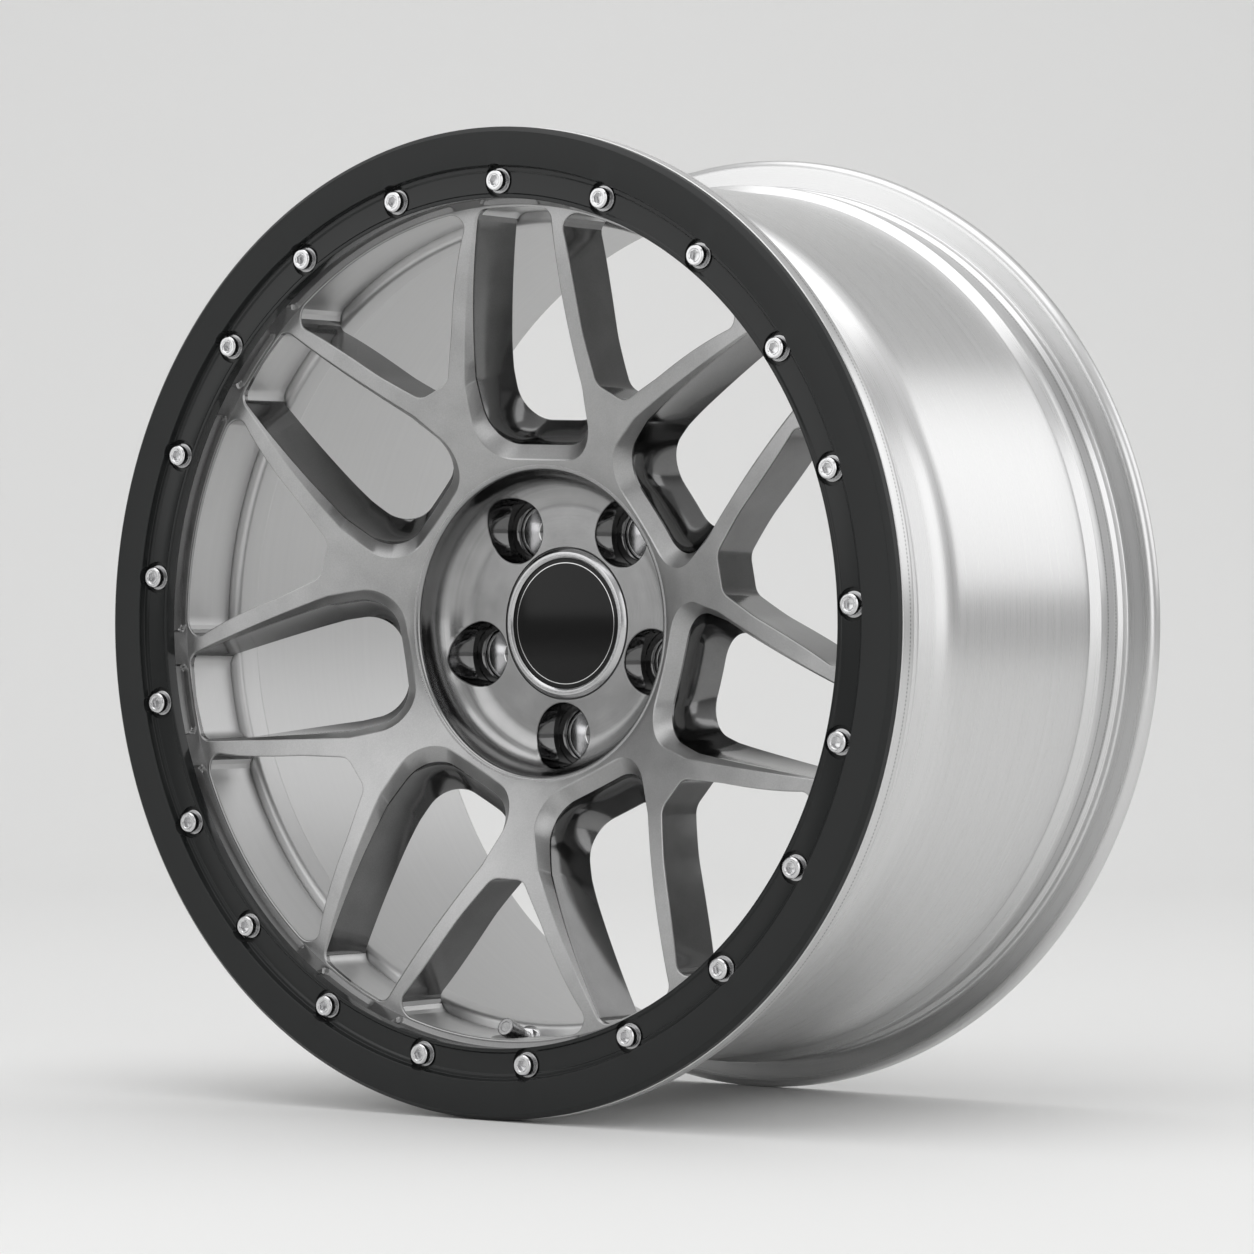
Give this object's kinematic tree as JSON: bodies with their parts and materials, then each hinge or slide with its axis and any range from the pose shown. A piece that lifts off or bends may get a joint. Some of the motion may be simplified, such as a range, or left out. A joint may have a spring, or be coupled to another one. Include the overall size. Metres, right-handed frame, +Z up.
{
  "type": "alloy wheel",
  "caption": "Bare road wheel with a bright turned barrel, a dished forked-spoke centre in gunmetal and a black bolted face ring, for a hub with a stud circle.",
  "frame": {"origin": "on the axle line, in the plane of the hub mounting face", "axes": "+Y along the axle from the face towards the vehicle, +Z up, +X to the right seen from the face"},
  "size_m": [0.4966, 0.2459, 0.4965],
  "materials": {
    "machined_alloy": "fine turned lines, clear",
    "gunmetal_alloy": "brushed satin gunmetal",
    "black_paint": "satin black with a gloss channel",
    "bright_steel": "bright turned",
    "black_plastic": "matt black",
    "badge_gloss": "gloss black",
    "polished_trim": "polished",
    "plated_brass": "nickel plated",
    "brass": "plain brass",
    "dark_alloy": "anodised",
    "black_rubber": "matt"
  },
  "bodies": {
    "root": {"rim_barrel": "machined_alloy", "centre_disc": "gunmetal_alloy", "face_ring": "black_paint", "ring_bolts": "bright_steel", "ring_bolt_washers": "bright_steel", "stud_seats": "bright_steel", "cap_body": "black_plastic", "cap_badge": "badge_gloss", "cap_bezel": "polished_trim", "cap_spring": "bright_steel", "valve_stem": "plated_brass", "valve_seal": "black_rubber", "valve_washer": "bright_steel", "valve_nut": "plated_brass", "valve_core": "brass", "valve_cap": "dark_alloy"}
  },
  "joints": []
}
